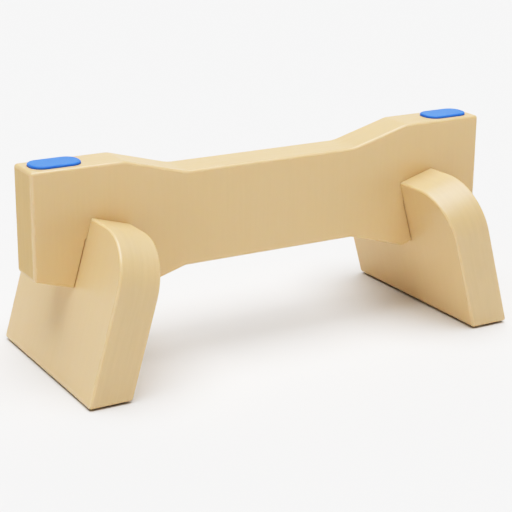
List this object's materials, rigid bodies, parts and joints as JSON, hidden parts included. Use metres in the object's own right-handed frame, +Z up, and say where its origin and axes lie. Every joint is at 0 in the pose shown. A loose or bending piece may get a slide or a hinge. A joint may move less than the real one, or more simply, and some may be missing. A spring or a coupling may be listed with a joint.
{
  "type": "cutting board riser stand",
  "caption": "Trestle riser for a cutting board: a waisted beam slotted across splayed plate legs, with soft rounded grips on top and under the feet.",
  "frame": {"origin": "on the floor, under the middle of the beam", "axes": "+X along the beam, +Y across it along the feet, +Z up"},
  "size_m": [0.3, 0.124, 0.1225],
  "materials": {
    "body": "machined matt polyethylene, cream",
    "grip": "satin blue elastomer"
  },
  "bodies": {
    "beam": {"beam": "body", "top_grip_left": "grip", "top_grip_right": "grip"},
    "left_leg": {"left_leg": "body", "foot_grip_left_front": "grip", "foot_grip_left_back": "grip"},
    "right_leg": {"right_leg": "body", "foot_grip_right_front": "grip", "foot_grip_right_back": "grip"}
  },
  "joints": [
    {"name": "left_leg_slide", "type": "slide", "parent": "beam", "child": "left_leg", "axis": [-0.2756, 0, -0.9613], "range_m": [0, 0.042]},
    {"name": "right_leg_slide", "type": "slide", "parent": "beam", "child": "right_leg", "axis": [0.2756, 0, -0.9613], "range_m": [0, 0.042]}
  ]
}
